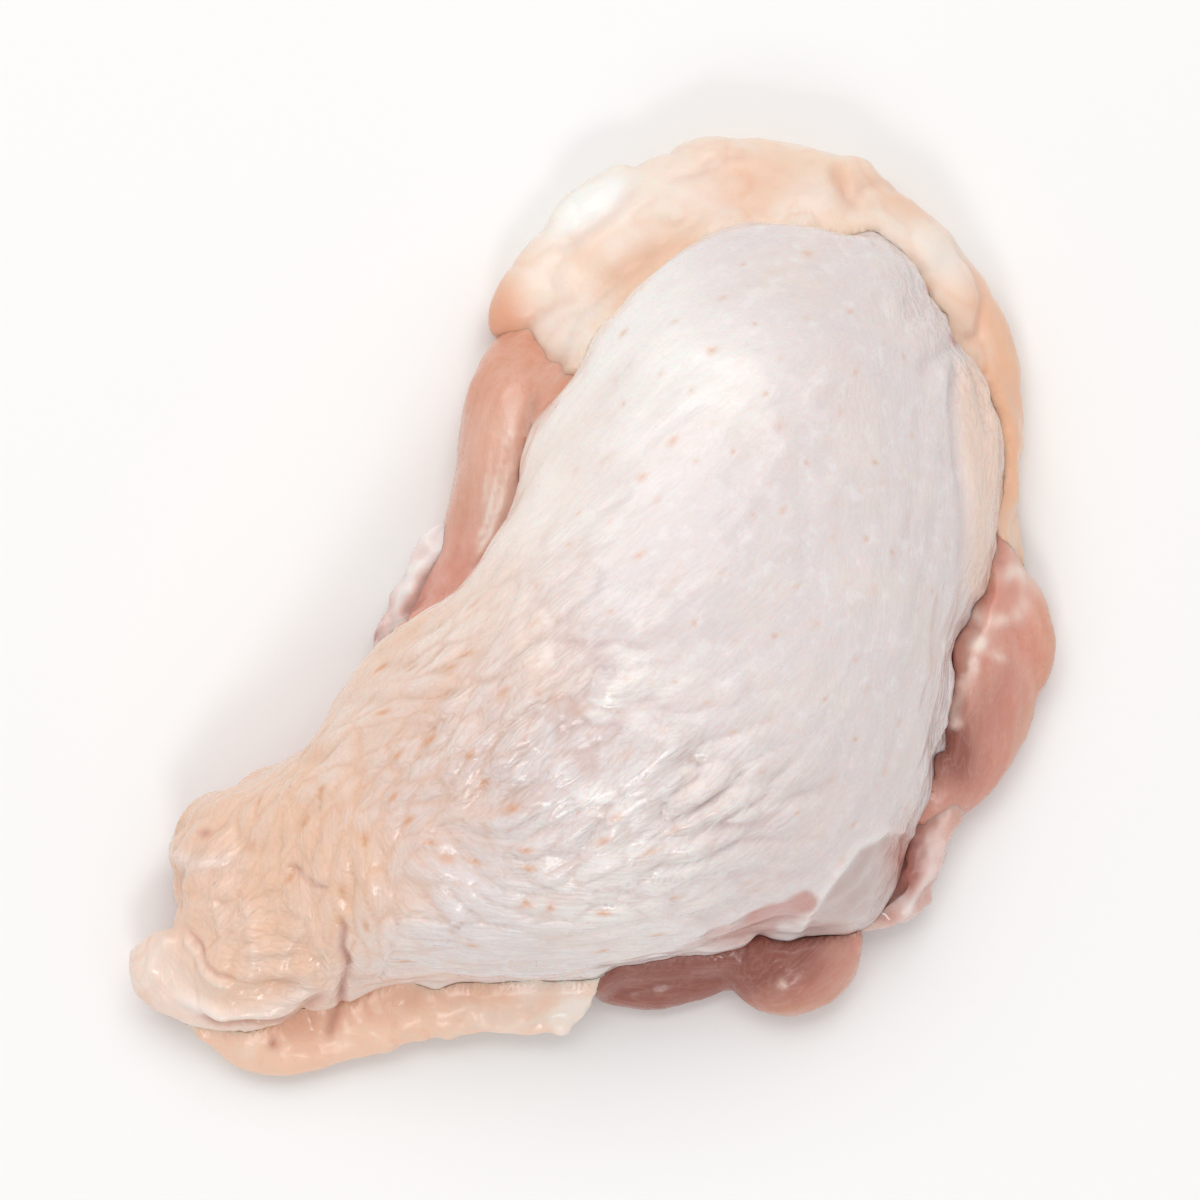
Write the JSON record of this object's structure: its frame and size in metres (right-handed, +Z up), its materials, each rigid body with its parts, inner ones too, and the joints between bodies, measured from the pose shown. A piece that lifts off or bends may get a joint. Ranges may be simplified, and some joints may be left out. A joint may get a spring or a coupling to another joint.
{
  "type": "chicken thigh",
  "caption": "Raw chicken thigh with its pale skin on, lying skin side up: a plump rounded muscle with soft fat spreading from under the skin at the thick end.",
  "frame": {"origin": "middle of the thigh's outline seen from above, on the plane it rests on", "axes": "+X along the thigh from its thin end to its thick end, +Z up out of the surface it lies on"},
  "size_m": [0.126, 0.0884, 0.0374],
  "materials": {
    "skin": "wet, pale pinkish white, finely wrinkled raw skin",
    "meat": "wet, pinkish red raw muscle",
    "fat": "soft, wet, pale peach fat",
    "skin_fold": "wet, peach coloured inner side of raw skin",
    "membrane": "wet, thin, half clear whitish membrane"
  },
  "bodies": {
    "root": {"skin": "skin", "meat": "meat", "fat_pad": "fat", "under_flap": "skin_fold", "far_membrane": "membrane", "near_membrane": "membrane"}
  },
  "joints": []
}
